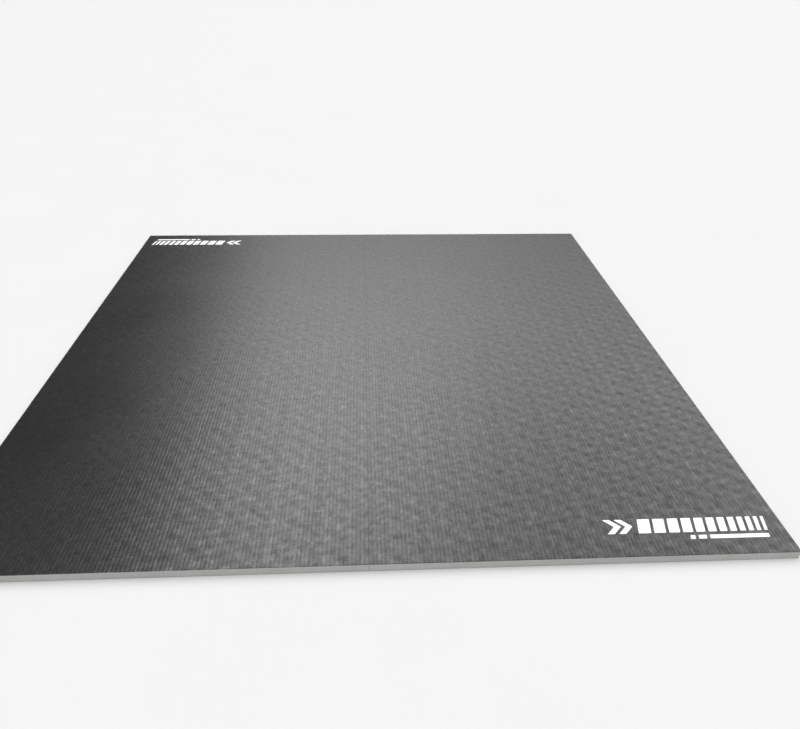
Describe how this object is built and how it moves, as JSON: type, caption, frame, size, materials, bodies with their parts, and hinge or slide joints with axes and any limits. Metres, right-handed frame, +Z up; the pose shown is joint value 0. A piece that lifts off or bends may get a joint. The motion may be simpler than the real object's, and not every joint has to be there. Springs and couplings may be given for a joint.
{
  "type": "folding exercise mat",
  "caption": "Large square folding floor mat: laminated closed-cell foam panels under a ribbed vinyl cover that creases along the centre line, so the mat closes like a book.",
  "frame": {"origin": "on the floor, under the middle of the fold line: the bottom centre of the open mat", "axes": "+Z up out of the training surface, +Y along the fold line away from the viewer, +X across the fold towards the panel that lifts"},
  "size_m": [3.048, 3.048, 0.0318],
  "materials": {
    "cover_vinyl": "charcoal vinyl, semi-gloss, embossed with fine straight ribs",
    "cover_scrim": "off-white woven polyester scrim",
    "foam": "light grey closed-cell foam, matt, knife cut",
    "nonslip_backing": "mid grey textured non-slip film, matt",
    "print_ink": "thin white screen-printed ink"
  },
  "bodies": {
    "left_panel": {"left_nonslip_backing": "nonslip_backing", "left_foam_bottom_layer": "foam", "left_foam_middle_layer": "foam", "left_foam_top_layer": "foam", "left_cover_scrim": "cover_scrim", "left_cover_sheet": "cover_vinyl"},
    "right_panel": {"right_nonslip_backing": "nonslip_backing", "right_foam_bottom_layer": "foam", "right_foam_middle_layer": "foam", "right_foam_top_layer": "foam", "right_cover_scrim": "cover_scrim", "right_cover_sheet": "cover_vinyl"}
  },
  "joints": [
    {"name": "fold", "type": "hinge", "parent": "left_panel", "child": "right_panel", "pos_m": [0, 0, 0.03215], "axis": [0, -1, 0], "range_deg": [0, 179.9]}
  ]
}
